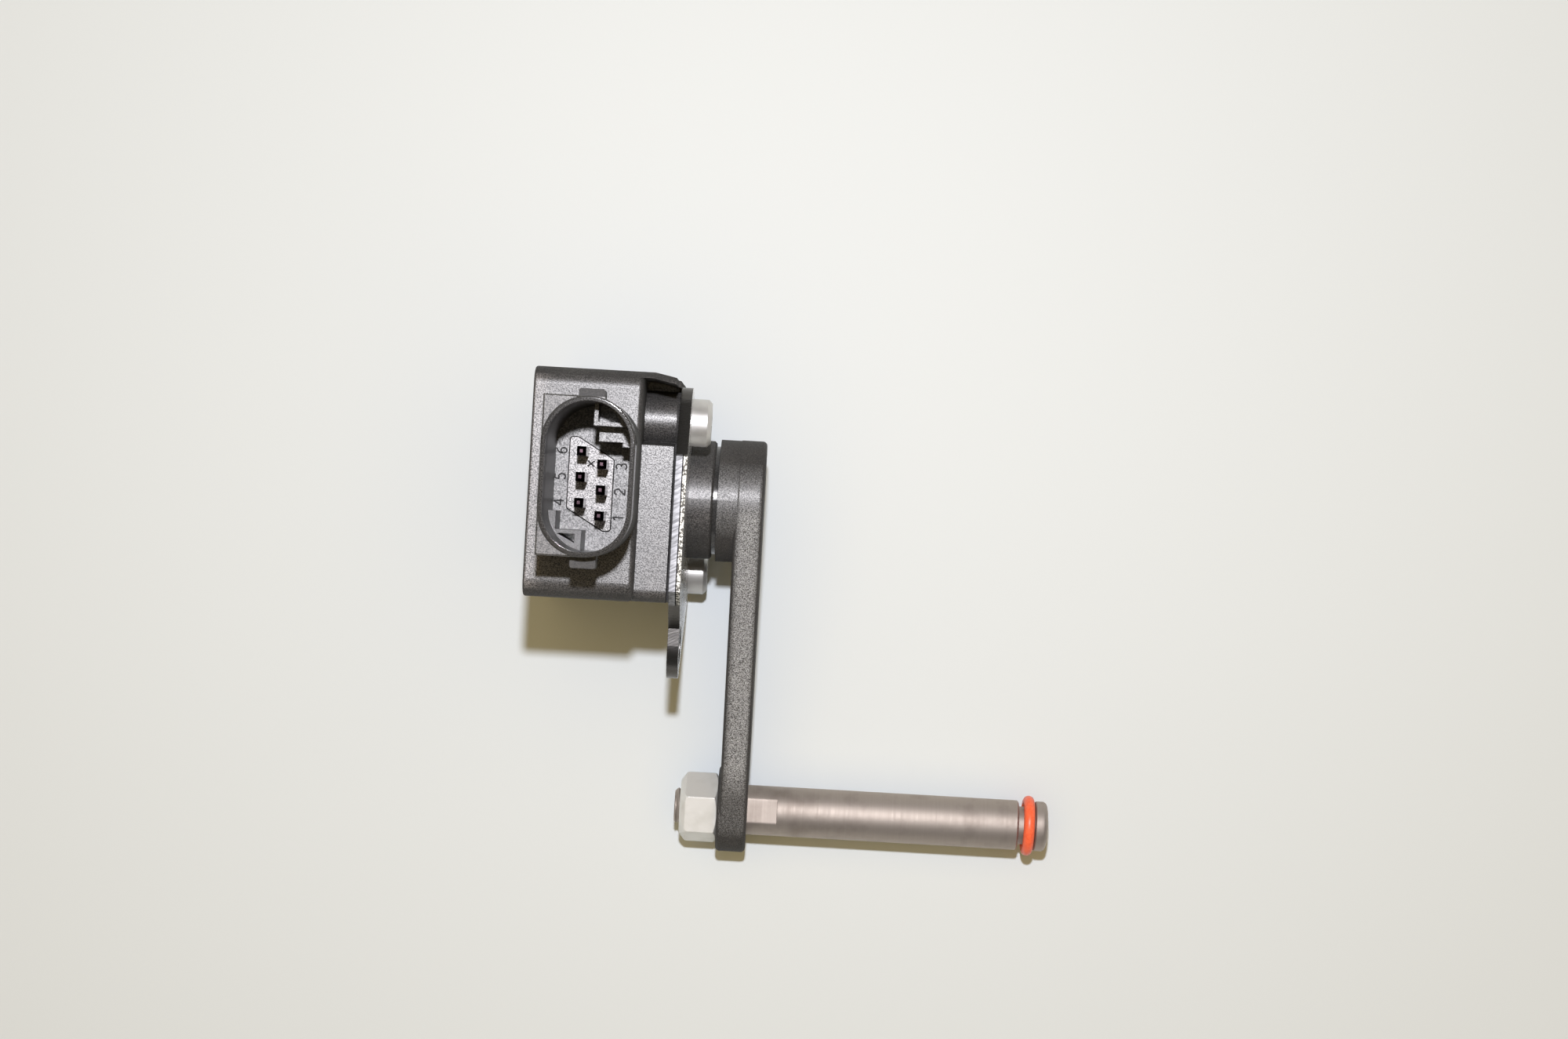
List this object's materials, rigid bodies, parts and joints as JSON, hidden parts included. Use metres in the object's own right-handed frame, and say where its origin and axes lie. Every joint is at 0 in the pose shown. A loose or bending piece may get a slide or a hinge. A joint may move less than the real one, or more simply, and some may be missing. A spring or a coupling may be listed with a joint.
{
  "type": "brake pedal sensor",
  "caption": "Rotary pedal position sensor: black moulded housing with a plug socket, stamped steel bracket plate, and a swinging lever that carries a steel pin with a rubber ring.",
  "frame": {"origin": "on the lever's shaft axis, at the outer face of the bracket plate", "axes": "+X along the shaft towards the lever and its pin, +Z out of the plug socket, +Y away from the lever's eye; the part lies on its back face, which looks along -Z"},
  "size_m": [0.0837, 0.075, 0.0625],
  "materials": {
    "housing_plastic": "fine eroded grain, glass filled",
    "cover_plastic": "smooth moulded",
    "plate_steel": "bright plated, sheared edges",
    "screw_steel": "zinc plated, satin",
    "insert_brass": "turned",
    "bush_bronze": "sintered",
    "seal_rubber": "matt",
    "slide_ring_plastic": "glossy",
    "board_laminate": "green lacquer",
    "chip_plastic": "moulded",
    "capacitor_ceramic": "fired",
    "contact_metal": "dark bright plating",
    "lever_plastic": "fine grain, glass filled",
    "shaft_steel": "ground",
    "clip_steel": "spring steel",
    "rotor_plastic": "moulded",
    "loop_copper": "stamped",
    "sleeve_steel": "plated",
    "pedal_pin_steel": "warm grey turned surface",
    "nut_zinc": "pale zinc plating",
    "ring_rubber": "smooth"
  },
  "bodies": {
    "sensor_body": {"housing": "housing_plastic", "rear_cover": "cover_plastic", "bracket_plate": "plate_steel", "bracket_screws": "screw_steel", "threaded_inserts": "insert_brass", "bearing_bush": "bush_bronze", "shaft_seal": "seal_rubber", "thrust_ring": "slide_ring_plastic", "circuit_board": "board_laminate", "sensor_chip": "chip_plastic", "board_capacitors": "capacitor_ceramic", "contact_pin_1": "contact_metal", "contact_pin_2": "contact_metal", "contact_pin_3": "contact_metal", "contact_pin_4": "contact_metal", "contact_pin_5": "contact_metal", "contact_pin_6": "contact_metal"},
    "lever": {"lever_arm": "lever_plastic", "shaft": "shaft_steel", "retaining_clip": "clip_steel", "rotor_carrier": "rotor_plastic", "rotor_loop": "loop_copper", "eye_sleeve": "sleeve_steel", "pedal_pin": "pedal_pin_steel", "lock_nut": "nut_zinc", "o_ring": "ring_rubber"}
  },
  "joints": [
    {"name": "lever_swing", "type": "hinge", "parent": "sensor_body", "child": "lever", "pos_m": [0, 0, 0], "axis": [1, 0, 0], "range_deg": [-70, 20]}
  ]
}
